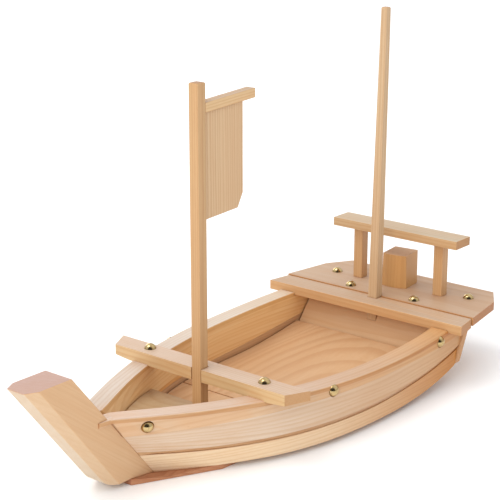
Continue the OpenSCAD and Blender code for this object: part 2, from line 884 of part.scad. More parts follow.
module thwart() {
    color(wood_pale)
        difference() {
            intersection() {
                slab(thwart_z, thwart_z + thwart_t)
                    polygon([
                        [thwart_x, -thwart_front_half],
                        [thwart_x + thwart_w, -thwart_rear_half],
                        [thwart_x + thwart_w, thwart_rear_half],
                        [thwart_x, thwart_front_half]
                    ]);
                // Front view: the underside rises towards each end
                translate([thwart_x - overrun, 0, 0])
                    rotate([90, 0, 90])
                        linear_extrude(thwart_w + 2 * overrun)
                            polygon([
                                [-thwart_taper_y, thwart_z],
                                [thwart_taper_y, thwart_z],
                                [thwart_rear_half, thwart_z + thwart_end_rise],
                                [thwart_rear_half, thwart_z + thwart_t],
                                [-thwart_rear_half, thwart_z + thwart_t],
                                [-thwart_rear_half, thwart_z + thwart_end_rise]
                            ]);
            }
            front_mast_space(notch_gap, thwart_z - overrun, thwart_z + thwart_t + overrun);
            at_thwart_nails() nail_hole();
        }
}

module stern_beam() {
    color(wood_pale)
        difference() {
            slab(beam_z, beam_z + beam_t)
                polygon([
                    [beam_x, -beam_l / 2],
                    [beam_rear_x, beam_end_in - beam_l / 2],
                    [beam_rear_x, beam_l / 2 - beam_end_in],
                    [beam_x, beam_l / 2]
                ]);
            rear_mast_space(socket_gap);
        }
}

module stern_deck() {
    color(wood_pale)
        difference() {
            slab(deck_z, deck_top_z)
                polygon([
                    [beam_rear_x + beam_gap, -deck_front_half],
                    [deck_rear_x - deck_corner_in, -deck_side_half],
                    [deck_rear_x, -deck_rear_half],
                    [deck_rear_x, deck_rear_half],
                    [deck_rear_x - deck_corner_in, deck_side_half],
                    [beam_rear_x + beam_gap, deck_front_half]
                ]);
            rear_mast_space(socket_gap);
            at_deck_nails() nail_hole();
            for (side = [-1, 1])
                translate([post_x, side * post_y, deck_top_z - tenon_l]) tenon(tenon_gap, tenon_l + overrun);
        }
}

module deck_ledger() {
    color(wood_floor)
        difference() {
            side_slab(ledger_half)
                polygon([
                    [transom_front_x(ledger_z) + transom_t, ledger_z],
                    [ledger_rear_x, ledger_z],
                    [ledger_rear_x, deck_z],
                    [beam_rear_x, deck_z],
                    [beam_rear_x, beam_z],
                    [transom_front_x(beam_z) + transom_t, beam_z]
                ]);
            rear_mast_space(socket_gap);
            at_deck_nails() nail_hole();
        }
}

module deck_bearers() {
    color(wood_floor)
        difference() {
            for (side = [-1, 1])
                translate([ledger_rear_x, side * deck_nail_rear_y - bearer_w / 2, deck_z - bearer_h])
                    cube([bearer_l, bearer_w, bearer_h]);
            at_deck_nails() nail_hole();
        }
}

// Stern rail and deck block

module tenon(gap, length) {
    cylinder(length, r = tenon_r + gap, $fn = round_sides);
}

module rail_post(side) {
    translate([post_x, side * post_y, deck_top_z]) {
        translate([-post_side / 2, -post_side / 2, 0]) cube([post_side, post_side, post_h]);
        translate([0, 0, -tenon_l]) tenon(0, tenon_l + post_h + tenon_l);
    }
}

module rail_post_near() {
    color(wood_trim) rail_post(-1);
}

module rail_post_far() {
    color(wood_trim) rail_post(1);
}

module rail_crossbar() {
    z = deck_top_z + post_h;
    x = post_x - crossbar_ahead;
    color(wood_pale)
        difference() {
            upright_box(x, x + crossbar_w, crossbar_l / 2, z, z + crossbar_t);
            for (side = [-1, 1])
                translate([post_x, side * post_y, z - overrun]) tenon(tenon_gap, overrun + tenon_l);
        }
}

module deck_block() {
    half_l = block_l / 2;
    half_w = block_w / 2;
    front_r = (pow(half_w, 2) + pow(block_bulge, 2)) / (2 * block_bulge);
    color(wood_trim)
        translate([block_x, block_y, deck_top_z])
            rotate([0, 0, block_turn])
                intersection() {
                    side_slab(block_w)
                        polygon([
                            [-half_l, 0],
                            [half_l, 0],
                            [half_l - block_taper, block_h],
                            [-half_l + block_taper, block_h]
                        ]);
                    rotate([90, 0, 90])
                        linear_extrude(2 * block_l, center = true)
                            polygon([
                                [-half_w, 0],
                                [half_w, 0],
                                [half_w - block_taper, block_h],
                                [-half_w + block_taper, block_h]
                            ]);
                    translate([-half_l + front_r, 0, 0]) cylinder(block_h, r = front_r, $fn = round_sides);
                    union() {
                        upright_box(-half_l + block_round, half_l - block_round, half_w, 0, block_h);
                        upright_box(-half_l, half_l, half_w - block_round, 0, block_h);
                        for (x = [-1, 1], y = [-1, 1])
                            translate([x * (half_l - block_round), y * (half_w - block_round), 0])
                                cylinder(block_h, r = block_round, $fn = round_sides);
                    }
                }
}

// Masts, yard and sail

module mast_shape(foot, shoulder, tip, shoulder_z, top_z) {
    levels = [
        [foot, 0], [shoulder, shoulder_z], [tip, top_z - mast_bevel], [tip - 2 * mast_bevel, top_z]
    ];
    points = [
        for (level = levels, side = [[-1, -1], [1, -1], [1, 1], [-1, 1]])
            [side[0] * level[0] / 2, side[1] * level[0] / 2, level[1]]
    ];
    last = 4 * (len(levels) - 1);
    polyhedron(
        points = points,
        faces = concat(
            [[0, 1, 2, 3]],
            [[last + 3, last + 2, last + 1, last]],
            [
                for (row = [0:4:last - 4], k = [0:3])
                    [row + k, row + k + 4, row + (k + 1) % 4 + 4, row + (k + 1) % 4]
            ]
        )
    );
}

module front_mast() {
    length = front_mast_top_z - floor_z;
    color(wood_trim)
        translate([thwart_x + mast_half, 0, floor_z])
            mast_shape(front_mast_side, front_mast_side, front_mast_side, length / 2, length);
}

module front_mast_step() {
    color(wood_floor)
        difference() {
            translate([thwart_x + mast_half - step_l / 2, -step_w / 2, floor_z])
                cube([step_l, step_w, step_h]);
            front_mast_space(socket_gap, floor_z - overrun, floor_z + step_h + overrun);
        }
}

module yard() {
    color(wood_trim)
        difference() {
            // Parallel faces that rise towards the stern, with upright ends
            side_slab(yard_t / 2)
                polygon([
                    [mast_pitch_x, yard_z],
                    [mast_pitch_x + yard_l, yard_z + yard_l * tan(yard_pitch)],
                    [mast_pitch_x + yard_l, yard_z + yard_l * tan(yard_pitch) + yard_h],
                    [mast_pitch_x, yard_z + yard_h]
                ]);
            side_slab(sail_t / 2) sail_outline();
        }
}

module sail_outline() {
    rear_x = mast_pitch_x + sail_l;
    polygon([
        [mast_pitch_x, sail_bottom_z],
        [rear_x - sail_corner_l, sail_bottom_z + sail_foot_rise],
        [rear_x, sail_bottom_z + sail_corner_h],
        [rear_x, yard_z + sail_l * tan(yard_pitch) + sail_rebate],
        [mast_pitch_x, yard_z + sail_rebate]
    ]);
}

module sail_board() {
    color(wood_trim) side_slab(sail_t / 2) sail_outline();
}

module rear_mast() {
    shoulder = deck_top_z - rear_mast_foot_z;
    length = (rear_mast_top_z - beam_z - beam_t) / cos(rear_mast_lean) + beam_z + beam_t - rear_mast_foot_z;
    color(wood_trim)
        translate([rear_mast_x + rear_mast_side / 2, 0, beam_z + beam_t])
            rotate([0, rear_mast_lean, 0])
                translate([0, 0, rear_mast_foot_z - beam_z - beam_t])
                    mast_shape(rear_mast_side, rear_mast_side, rear_mast_tip, shoulder, length);
}

// Brass nails

module thwart_nails() {
    color(brass) at_thwart_nails() nail();
}

module deck_nails() {
    color(brass) at_deck_nails() nail();
}

module side_nails_far() {
    color(brass) side_nails();
}

module side_nails_near() {
    color(brass) near_side() side_nails();
}

base_board();
stem_post();
lower_strake_near();
lower_strake_far();
upper_strake_near();
upper_strake_far();
gunwale_near();
gunwale_far();
transom();
front_floor_board();
main_floor_board();
bow_deck();
bow_deck_bearers();
thwart();
stern_beam();
stern_deck();
deck_ledger();
deck_bearers();
rail_post_near();
rail_post_far();
rail_crossbar();
deck_block();
front_mast();
front_mast_step();
yard();
sail_board();
rear_mast();
thwart_nails();
deck_nails();
side_nails_near();
side_nails_far();
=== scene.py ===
"""Looks of the wooden serving boat: grained pine boards, brass nails, a pale table and soft studio light.

Lengths are in metres where a name doesn't say millimetres, and angles are in degrees.
"""
import math

import bpy
from mathutils import Matrix, Vector

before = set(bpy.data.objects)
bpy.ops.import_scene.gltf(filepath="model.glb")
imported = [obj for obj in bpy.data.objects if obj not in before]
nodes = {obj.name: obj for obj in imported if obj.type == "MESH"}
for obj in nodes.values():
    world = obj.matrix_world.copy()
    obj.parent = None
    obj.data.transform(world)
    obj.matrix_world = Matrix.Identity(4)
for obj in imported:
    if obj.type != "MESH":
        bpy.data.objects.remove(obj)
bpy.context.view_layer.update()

X, Y, Z = (1, 0, 0), (0, 1, 0), (0, 0, 1)

# sockets of a colour mix node, which has a set of them for each kind of value
MIX_FACTOR, MIX_A, MIX_B, MIX_RESULT = 0, 6, 7, 2


class Tree:
    """Short calls for building the nodes of a material or a world."""

    def __init__(self, owner):
        owner.use_nodes = True
        self.owner = owner
        self.nodes = owner.node_tree.nodes
        self.links = owner.node_tree.links
        self.nodes.clear()

    def node(self, kind, **settings):
        made = self.nodes.new(kind)
        for key, value in settings.items():
            setattr(made, key, value)
        return made

    def put(self, socket, value):
        """Links a socket to another one, or sets it to a constant."""
        if isinstance(value, bpy.types.NodeSocket):
            self.links.new(value, socket)
        else:
            socket.default_value = value

    def math(self, operation, a, b=None, clamp=False):
        made = self.node("ShaderNodeMath", operation=operation, use_clamp=clamp)
        self.put(made.inputs[0], a)
        if b is not None:
            self.put(made.inputs[1], b)
        return made.outputs[0]

    def add(self, a, b):
        return self.math("ADD", a, b)

    def subtract(self, a, b):
        return self.math("SUBTRACT", a, b)

    def multiply(self, a, b):
        return self.math("MULTIPLY", a, b)

    def vector(self, operation, a, b):
        made = self.node("ShaderNodeVectorMath", operation=operation)
        self.put(made.inputs[0], a)
        self.put(made.inputs[1], b)
        return made.outputs["Value" if operation == "DOT_PRODUCT" else "Vector"]

    def combine(self, x, y, z):
        made = self.node("ShaderNodeCombineXYZ")
        for socket, value in zip(made.inputs, (x, y, z)):
            self.put(socket, value)
        return made.outputs[0]

    def separate(self, v):
        made = self.node("ShaderNodeSeparateXYZ")
        self.put(made.inputs[0], v)
        return made.outputs

    def noise(self, vector, scale, detail, rough=0.5):
        made = self.node("ShaderNodeTexNoise")
        self.put(made.inputs["Vector"], vector)
        self.put(made.inputs["Scale"], scale)
        self.put(made.inputs["Detail"], detail)
        self.put(made.inputs["Roughness"], rough)
        return made.outputs["Fac"]

    def span(self, value, a, b, c=0.0, d=1.0, smooth=False):
        """Maps a to b onto c to d, and stays at c and d outside."""
        made = self.node("ShaderNodeMapRange", interpolation_type="SMOOTHSTEP" if smooth else "LINEAR")
        for socket, v in zip(made.inputs, (value, a, b, c, d)):
            self.put(socket, v)
        return made.outputs[0]

    def mix(self, factor, a, b, blend="MIX"):
        made = self.node("ShaderNodeMix", data_type="RGBA", blend_type=blend)
        self.put(made.inputs[MIX_FACTOR], factor)
        self.put(made.inputs[MIX_A], a)
        self.put(made.inputs[MIX_B], b)
        return made.outputs[MIX_RESULT]

    def stain(self, colour, other, amount, pattern):
        """Turns a colour towards another one by an amount, where a pattern from 0 to 1 is strong."""
        return self.mix(self.multiply(pattern, amount), colour, other)

    def tint(self, colour, factors, where):
        """Multiplies a colour by three factors, as far as where says."""
        return self.mix(where, colour, self.mix(1.0, colour, (*factors, 1.0), "MULTIPLY"))

    def openness(self, distance):
        """1 in the open, towards 0 where other surfaces are within the distance."""
        made = self.node("ShaderNodeAmbientOcclusion", samples=6)
        self.put(made.inputs["Distance"], distance)
        return made.outputs["AO"]

    def surface(self, colour, roughness, relief, strength, distance, **constants):
        """Ends the nodes in a shader with a relief, and returns the material."""
        bump = self.node("ShaderNodeBump")
        self.put(bump.inputs["Height"], relief)
        self.put(bump.inputs["Strength"], strength)
        self.put(bump.inputs["Distance"], distance)
        shader = self.node("ShaderNodeBsdfPrincipled")
        self.put(shader.inputs["Base Color"], colour)
        self.put(shader.inputs["Roughness"], roughness)
        self.put(shader.inputs["Normal"], bump.outputs[0])
        for name, value in constants.items():
            self.put(shader.inputs[name.replace("_", " ")], value)
        out = self.node("ShaderNodeOutputMaterial")
        self.links.new(shader.outputs[0], out.inputs["Surface"])
        return self.owner


def rgb(r, g, b):
    """A colour given as it looks on screen, 0 to 255, turned into a shader's linear one."""
    def linear(v):
        v /= 255
        return v / 12.92 if v <= 0.04045 else ((v + 0.055) / 1.055) ** 2.4
    return (linear(r), linear(g), linear(b), 1.0)


# wood: each kind of pine has a colour for early wood and one for late wood
PALE = (rgb(226, 194, 162), rgb(198, 148, 104))
TAN = (rgb(218, 178, 136), rgb(186, 132, 84))
GOLD = (rgb(214, 172, 124), rgb(178, 118, 68))
WARM = rgb(206, 152, 102)
RESIN = rgb(150, 104, 66)
END_WOOD = rgb(190, 138, 102)
END_SAWN = rgb(170, 116, 78)
# the colour of painted shade in joints and inner corners
CREASE_SHADE_BROWN = rgb(158, 92, 40)
WOOD_SHADE = 0.88
NO_TINT = (1.0, 1.0, 1.0)

# the tints of a board's two ends, partly its colour and partly painted light that falls off from bow to
# stern, meet between these places along the boat
BOW_TINT_X, STERN_TINT_X = -0.05, 0.14
# the way that the stem's front edge faces, which gets a painted highlight
STEM_AHEAD = (-0.81, 0.0, -0.586)

# how often a pattern repeats along the grain and across it, in a metre
WANDER, SHAKE, BROAD = (5.0, 14.0), (26.0, 90.0), (9.0, 190.0)
FIBRES, SPECKS = (60.0, 2200.0), (240.0, 2600.0)
# how far the rings wander, in the two directions across the grain, and how far they shake
WANDER_V, WANDER_W, SHAKE_DEPTH = 0.010, 0.007, 0.0007
# how much the rings' widths differ, how often they change, and bands of weaker and stronger rings
RING_UNEVENNESS, RING_CHANGES_PER_METRE, BANDS_PER_METRE, BANDS_ALONG = 1.6, 160.0, 90.0, 3.0
SAW_MARKS_PER_METRE, PATCHES_PER_METRE = 900.0, 11.0
WOOD_ROUGHNESS, FIBRE_ROUGHNESS, END_ROUGHNESS = 0.42, 0.16, 0.14
# how near other surfaces must be for the painted shade in joints and inner corners
CREASE_SHADE_DISTANCE = 0.0028

# the hull's top edge seen from above: half width at the stem and at its widest, and where these are
STEM_HALF, WIDEST_HALF, STEM_X, WIDEST_X = 0.0122, 0.0806, -0.1498, 0.0822
BOW_FULLNESS, STERN_TUCK = 2.2, 0.9

# the sheer line seen from the side: its lowest point and its bend
SHEER_X, SHEER_Z, SHEER_BEND = 0.0482, 0.0425, 0.2174
# the upper strake's foot seen from the side: its lowest point and its bend on either side of it
FOOT_X, FOOT_Z, FOOT_BEND_BOW, FOOT_BEND_STERN = 0.0232, 0.0148, 0.111, 0.63
# the strip of painted shade under the cap begins and ends at these depths below the sheer line
CAP_BEGINS, CAP_ENDS = (0.0004, 0.0010), (0.0030, 0.0036)
# the strip of painted shade at the groove ends at this height above the foot, and fades between these places
# along the boat
GROOVE_ENDS, GROOVE_FADES_X, GROOVE_FADED = (0.0026, 0.0031), (-0.03, 0.06), 0.15


def hull_line(t, x):
    """Half width of the hull's top edge at x, so that grain can follow the bent planks."""
    share = t.math("DIVIDE", t.subtract(WIDEST_X, x), WIDEST_X - STEM_X, clamp=True)
    rest = t.subtract(1.0, t.math("POWER", share, BOW_FULLNESS))
    ahead = t.add(t.multiply(rest, WIDEST_HALF - STEM_HALF), STEM_HALF)
    behind = t.math("MAXIMUM", t.subtract(x, WIDEST_X), 0.0)
    return t.subtract(ahead, t.multiply(t.multiply(behind, behind), STERN_TUCK))


def parabola(t, x, low_x, low_z, bend):
    """Height at x of a curve that is lowest at low_x."""
    from_low = t.subtract(x, low_x)
    return t.add(t.multiply(t.multiply(from_low, from_low), bend), low_z)


def painted_cap_shadow(t, x, z):
    """1 in the strip of painted shade under the cap, along the upper edge of a gunwale's side."""
    depth = t.subtract(parabola(t, x, SHEER_X, SHEER_Z, SHEER_BEND), z)
    return t.multiply(t.span(depth, *CAP_BEGINS), t.span(depth, *CAP_ENDS, 1.0, 0.0))


def painted_groove_shadow(t, x, z):
    """1 in the strip of painted shade along an upper strake's foot, fading towards the stern."""
    bend = t.span(t.subtract(x, FOOT_X), -0.001, 0.001, FOOT_BEND_BOW, FOOT_BEND_STERN)
    rise = t.subtract(z, parabola(t, x, FOOT_X, FOOT_Z, bend))
    return t.multiply(t.span(rise, *GROOVE_ENDS, 1.0, 0.0), t.span(x, *GROOVE_FADES_X, 1.0, GROOVE_FADED))


def grain_axes(t, place, along, lean, curved):
    """Coordinates along the grain and in the two directions across it."""
    x, y, z = t.separate(place)
    if curved:
        y = t.subtract(t.math("ABSOLUTE", y), hull_line(t, x))
    if along == X:
        return x, y, t.subtract(z, t.multiply(x, lean)) if lean else z
    if along == Y:
        return y, x, z
    return z, t.subtract(x, t.multiply(z, lean)) if lean else x, y


def streaks(t, grain, density, detail, rough, shift=0.0):
    """Noise that is long along the grain. The shift gives each board its own."""
    u, v, w = grain
    along, across = density
    depth = t.multiply(w, across)
    if shift:
        depth = t.add(depth, shift)
    return t.noise(t.combine(t.multiply(u, along), t.multiply(v, across), depth), 1.0, detail, rough)


def late_wood(t, grain, pith, ring, seed):
    """Rings of uneven width round the pith: they darken slowly from 0 towards 1, then drop back."""
    u, v, w = grain
    wander = t.subtract(streaks(t, grain, WANDER, detail=2.0, rough=0.45, shift=seed * 3.7), 0.5)
    shake = t.subtract(streaks(t, grain, SHAKE, detail=2.0, rough=0.5, shift=seed * 1.9), 0.5)
    dv = t.add(t.subtract(v, pith[0]), t.multiply(wander, WANDER_V))
    dw = t.add(t.subtract(w, pith[1]), t.multiply(wander, WANDER_W))
    radius = t.math("SQRT", t.add(t.multiply(dv, dv), t.multiply(dw, dw)))
    radius = t.add(radius, t.multiply(shake, SHAKE_DEPTH))
    width = t.noise(t.combine(radius, seed, 0.0), RING_CHANGES_PER_METRE, detail=1.0)
    uneven = t.multiply(t.subtract(width, 0.5), RING_UNEVENNESS)
    phase = t.math("FRACT", t.add(t.math("DIVIDE", radius, ring), uneven))
    darkening = t.span(phase, 0.35, 0.86, smooth=True)
    late = t.multiply(darkening, t.span(phase, 0.9, 1.0, 1.0, 0.0, smooth=True))
    band = t.combine(t.multiply(radius, BANDS_PER_METRE), t.multiply(u, BANDS_ALONG), seed)
    return t.multiply(late, t.span(t.noise(band, 1.0, detail=2.0), 0.3, 0.7, 0.35, 1.0))


def wood(name, along, pine, seed, pith, ring, contrast=0.5, curved=False, lean=0.0,
         bow=NO_TINT, stern=NO_TINT, top=NO_TINT, front=NO_TINT, cap=None, groove=None):
    """Pine with rings round a pith that runs beside the board, fibres along it and darker ends.

    along is the grain's direction. pith is the pith's place in the two directions across it, from the boat's
    origin, or for a curved board from the hull's top edge. ring is the width of a year's ring, contrast the
    strength of late wood and lean the grain's slope. The last six are tints: bow and stern of the board's two
    ends, partly its colour and partly painted light that falls off from bow to stern, top painted light on
    faces that look up, front a painted highlight on the stem's front edge, cap painted shade in the strip
    along a gunwale's upper edge and groove painted shade in the strip along an upper strake's foot.
    """
    t = Tree(bpy.data.materials.new(name))
    place = t.node("ShaderNodeTexCoord").outputs["Object"]
    geometry = t.node("ShaderNodeNewGeometry").outputs
    normal = geometry["True Normal"]
    x, _, z = t.separate(place)
    grain = grain_axes(t, place, along, lean, curved)
    early, dark = pine
    late = t.multiply(late_wood(t, grain, pith, ring, seed), contrast)
    fine = streaks(t, grain, FIBRES, detail=3.0, rough=0.6)
    broad = streaks(t, grain, BROAD, detail=3.0, rough=0.55, shift=seed)
    moved = t.vector("ADD", place, (seed, seed * 0.7, seed * 1.3))
    patches = t.noise(moved, PATCHES_PER_METRE, detail=2.0)
    specks = streaks(t, grain, SPECKS, detail=1.0, rough=0.4)
    sawn = t.noise(place, SAW_MARKS_PER_METRE, detail=3.0, rough=0.6)
    # faces along the grain
    colour = t.mix(late, early, dark)
    colour = t.stain(colour, WARM, 0.35, t.span(broad, 0.32, 0.72))
    colour = t.stain(colour, dark, 0.22, t.span(fine, 0.35, 0.75))
    colour = t.stain(colour, WARM, 0.22, t.span(patches, 0.35, 0.7))
    colour = t.stain(colour, RESIN, 0.25, t.span(specks, 0.72, 0.80))
    # faces cut across the grain
    facing = t.math("ABSOLUTE", t.vector("DOT_PRODUCT", normal, along))
    across = t.span(facing, 0.72, 0.93, smooth=True)
    end = t.stain(END_WOOD, dark, 0.9, late)
    end = t.stain(end, END_SAWN, 0.35, t.span(sawn, 0.4, 0.7))
    colour = t.stain(colour, end, 0.8, across)
    # the tint changes slowly along the boat, partly the board's colour and partly painted light that falls
    # off from bow to stern; faces that look up and the stem's front edge get painted light of their own
    shaded = [tuple(part * WOOD_SHADE for part in tint) + (1.0,) for tint in (bow, stern)]
    colour = t.mix(1.0, colour, t.mix(t.span(x, BOW_TINT_X, STERN_TINT_X), *shaded), "MULTIPLY")
    colour = t.tint(colour, top, t.span(t.vector("DOT_PRODUCT", normal, Z), 0.75, 0.92))
    colour = t.tint(colour, front, t.span(t.vector("DOT_PRODUCT", normal, STEM_AHEAD), 0.3, 0.96))
    # painted shade under the cap's edge
    if cap:
        colour = t.tint(colour, cap, painted_cap_shadow(t, x, z))
    # painted shade in the groove at the upper strake's foot
    if groove:
        colour = t.tint(colour, groove, painted_groove_shadow(t, x, z))
    # handled edges are a little darker; joints and inner corners get painted brown shade where other surfaces
    # close them in
    colour = t.mix(t.span(geometry["Pointiness"], 0.52, 0.60, 0.0, 0.25), colour, WARM)
    painted_crease_shade = t.span(t.openness(CREASE_SHADE_DISTANCE), 0.15, 0.72, 0.7, 0.0, smooth=True)
    colour = t.mix(painted_crease_shade, colour, CREASE_SHADE_BROWN)
    # relief: late wood stands up, fibres and saw marks are fine lines
    relief = t.add(t.multiply(late, 0.5), t.multiply(fine, 0.5))
    relief = t.add(relief, t.multiply(t.multiply(sawn, across), 0.8))
    roughness = t.add(t.multiply(fine, FIBRE_ROUGHNESS), WOOD_ROUGHNESS)
    roughness = t.add(roughness, t.multiply(across, END_ROUGHNESS))
    return t.surface(colour, roughness, relief, strength=0.22, distance=0.00025,
                     Specular_IOR_Level=0.35, Sheen_Weight=0.04, Sheen_Roughness=0.5)


BRASS, TARNISHED, SPOTTED = rgb(202, 176, 126), rgb(134, 106, 60), rgb(120, 96, 52)
# painted shade where a nail's head meets the wood
CONTACT_SHADE = rgb(62, 48, 24)
TARNISH_PER_METRE, SPOTS_PER_METRE = 420.0, 1500.0
SCRATCHES_PER_METRE = (900.0, 5200.0, 1800.0)
BRASS_ROUGHNESS, TARNISH_ROUGHNESS = 0.13, 0.12
CONTACT_SHADE_DISTANCE = 0.0030


def brass():
    """Polished brass with some tarnish, and painted dark shade where the head meets the wood."""
    t = Tree(bpy.data.materials.new("brass"))
    place = t.node("ShaderNodeTexCoord").outputs["Object"]
    tarnish = t.span(t.noise(place, TARNISH_PER_METRE, detail=4.0, rough=0.6), 0.42, 0.72)
    spots = t.span(t.noise(place, SPOTS_PER_METRE, detail=2.0), 0.62, 0.72)
    colour = t.stain(BRASS, TARNISHED, 0.5, tarnish)
    colour = t.stain(colour, SPOTTED, 0.4, spots)
    # painted shade where the head meets the wood
    painted_contact_shade = t.span(t.openness(CONTACT_SHADE_DISTANCE), 0.35, 0.88, 0.9, 0.0, smooth=True)
    colour = t.mix(painted_contact_shade, colour, CONTACT_SHADE)
    scratches = t.noise(t.vector("MULTIPLY", place, SCRATCHES_PER_METRE), 1.0, detail=2.0)
    relief = t.add(scratches, t.multiply(spots, 0.6))
    roughness = t.add(t.multiply(tarnish, TARNISH_ROUGHNESS), BRASS_ROUGHNESS)
    return t.surface(colour, roughness, relief, strength=0.08, distance=0.0001, Metallic=1.0)


# each board's tints hold its colour and painted light: paler at the bow and shaded at the stern, far inner
# faces lit paler, painted light on faces that look up and on the stem's front edge
LOOKS = {
    "base_board": dict(
        along=X, pine=GOLD, seed=1.0, pith=(0.02, -0.08), ring=0.0030,
        bow=(0.74, 0.56, 0.60), stern=(0.74, 0.56, 0.60)),
    "stem_post": dict(
        along=X, pine=TAN, seed=2.0, pith=(0.03, 0.02), ring=0.0028, lean=-0.77, contrast=0.16,
        bow=(1.02, 1.07, 1.12), top=(0.68, 0.66, 0.96), front=(1.0, 1.28, 1.66)),
    "lower_strake_near": dict(
        along=X, pine=TAN, seed=3.0, pith=(-0.02, 0.075), ring=0.0022, curved=True,
        bow=(1.26, 1.58, 1.98), stern=(0.87, 0.58, 0.21)),
    "lower_strake_far": dict(
        along=X, pine=TAN, seed=4.0, pith=(-0.02, 0.080), ring=0.0022, curved=True),
    "upper_strake_near": dict(
        along=X, pine=PALE, seed=5.0, pith=(-0.04, -0.03), ring=0.0026, curved=True,
        bow=(0.97, 1.09, 1.25), stern=(0.88, 0.73, 0.52), groove=(0.88, 0.70, 0.50)),
    "upper_strake_far": dict(
        along=X, pine=PALE, seed=6.0, pith=(-0.04, -0.02), ring=0.0026, curved=True,
        bow=(1.34, 1.34, 1.02), stern=(1.36, 1.36, 1.04), groove=(0.88, 0.70, 0.50)),
    "gunwale_near": dict(
        along=X, pine=PALE, seed=7.0, pith=(0.05, 0.0), ring=0.0024, curved=True,
        bow=(0.98, 1.02, 1.04), stern=(0.87, 0.62, 0.28), top=(0.94, 1.02, 1.24), cap=(0.80, 0.64, 0.46)),
    "gunwale_far": dict(
        along=X, pine=PALE, seed=8.0, pith=(0.05, 0.0), ring=0.0024, curved=True,
        bow=(1.28, 1.30, 1.06), stern=(1.38, 1.40, 1.06), top=(0.70, 0.84, 1.34), cap=(0.85, 0.75, 0.62)),
    "transom": dict(
        along=Y, pine=PALE, seed=9.0, pith=(0.22, 0.02), ring=0.0024, stern=(1.0, 1.0, 0.90)),
    "front_floor_board": dict(along=X, pine=TAN, seed=10.0, pith=(0.01, -0.10), ring=0.0030),
    "main_floor_board": dict(along=X, pine=TAN, seed=11.0, pith=(-0.02, -0.12), ring=0.0030),
    "bow_deck": dict(
        along=X, pine=PALE, seed=12.0, pith=(0.02, -0.08), ring=0.0026, bow=(0.73, 0.73, 0.61)),
    "bow_deck_bearers": dict(along=Y, pine=TAN, seed=13.0, pith=(0.0, 0.05), ring=0.0020),
    "thwart": dict(
        along=Y, pine=PALE, seed=14.0, pith=(-0.10, 0.02), ring=0.0021,
        bow=(0.90, 0.93, 0.78), top=(0.94, 1.0, 1.38)),
    "stern_beam": dict(
        along=Y, pine=PALE, seed=15.0, pith=(0.19, 0.01), ring=0.0022,
        stern=(0.90, 0.80, 0.60), top=(0.85, 1.03, 1.50)),
    "stern_deck": dict(
        along=Y, pine=PALE, seed=16.0, pith=(0.18, -0.06), ring=0.0030,
        stern=(0.80, 0.61, 0.40), top=(0.94, 1.24, 1.94)),
    "deck_ledger": dict(along=Y, pine=TAN, seed=17.0, pith=(0.15, 0.0), ring=0.0022),
    "deck_bearers": dict(along=X, pine=TAN, seed=18.0, pith=(0.0, 0.0), ring=0.0022),
    "rail_post_near": dict(
        along=Z, pine=TAN, seed=19.0, pith=(0.18, -0.02), ring=0.0018, stern=(0.92, 0.92, 0.83)),
    "rail_post_far": dict(
        along=Z, pine=TAN, seed=20.0, pith=(0.20, 0.06), ring=0.0018, stern=(0.92, 0.92, 0.83)),
    "rail_crossbar": dict(
        along=Y, pine=PALE, seed=21.0, pith=(0.21, 0.06), ring=0.0022,
        stern=(0.80, 0.79, 0.65), top=(0.95, 1.23, 1.72)),
    "deck_block": dict(
        along=Z, pine=TAN, seed=22.0, pith=(0.17, -0.02), ring=0.0024, contrast=0.4,
        stern=(0.92, 0.84, 0.58), top=(1.25, 1.68, 2.8)),
    "front_mast": dict(
        along=Z, pine=GOLD, seed=23.0, pith=(-0.060, 0.012), ring=0.0019, contrast=0.75,
        bow=(0.85, 0.93, 0.97)),
    "front_mast_step": dict(along=X, pine=TAN, seed=24.0, pith=(0.0, 0.05), ring=0.0022),
    "yard": dict(
        along=X, pine=TAN, seed=25.0, pith=(0.01, 0.215), ring=0.0018, lean=0.052, contrast=0.7,
        bow=(1.08, 1.23, 1.24), stern=(1.08, 1.23, 1.24), top=(0.71, 0.73, 0.88)),
    "sail_board": dict(
        along=Z, pine=GOLD, seed=26.0, pith=(-0.12, 0.03), ring=0.0023, contrast=0.6,
        bow=(1.04, 1.22, 1.49), stern=(1.01, 1.14, 1.36)),
    "rear_mast": dict(
        along=Z, pine=GOLD, seed=27.0, pith=(0.135, 0.014), ring=0.0018, lean=0.0227, contrast=0.6,
        stern=(0.96, 1.13, 1.38)),
}
NAILS = ("thwart_nails", "deck_nails", "side_nails_near", "side_nails_far")

EDGE_WIDTH = 0.0005
MERGE_DISTANCE = 1e-6
FLAT_ANGLE, EDGE_ANGLE = 0.4, 32


def dress(obj, material):
    obj.data.materials.clear()
    obj.data.materials.append(material)


def ease_edges(obj):
    """Rounds a board's sharp edges slightly, as planed and sanded wood has them."""
    for polygon in obj.data.polygons:
        polygon.use_smooth = True
    weld = obj.modifiers.new("weld", "WELD")
    weld.merge_threshold = MERGE_DISTANCE
    flat = obj.modifiers.new("flat", "DECIMATE")
    flat.decimate_type = "DISSOLVE"
    flat.angle_limit = math.radians(FLAT_ANGLE)
    bevel = obj.modifiers.new("bevel", "BEVEL")
    bevel.width = EDGE_WIDTH
    bevel.segments = 3
    bevel.limit_method = "ANGLE"
    bevel.angle_limit = math.radians(EDGE_ANGLE)
    bevel.use_clamp_overlap = True
    bevel.harden_normals = False
    normals = obj.modifiers.new("normals", "WEIGHTED_NORMAL")
    normals.keep_sharp = True
    normals.weight = 90


for name, look in LOOKS.items():
    dress(nodes[name], wood(name, **look))
    ease_edges(nodes[name])
metal = brass()
for name in NAILS:
    dress(nodes[name], metal)

# the table lies a little below the base board, so that the two faces don't meet
TABLE_SIZE, TABLE_Z = 9.0, -0.0002
TABLE_WHITE, TABLE_HAZE = rgb(247, 247, 247), rgb(250, 250, 250)
HAZE_PER_METRE, GRIT_PER_METRE, TABLE_ROUGHNESS = 3.0, 900.0, 0.75


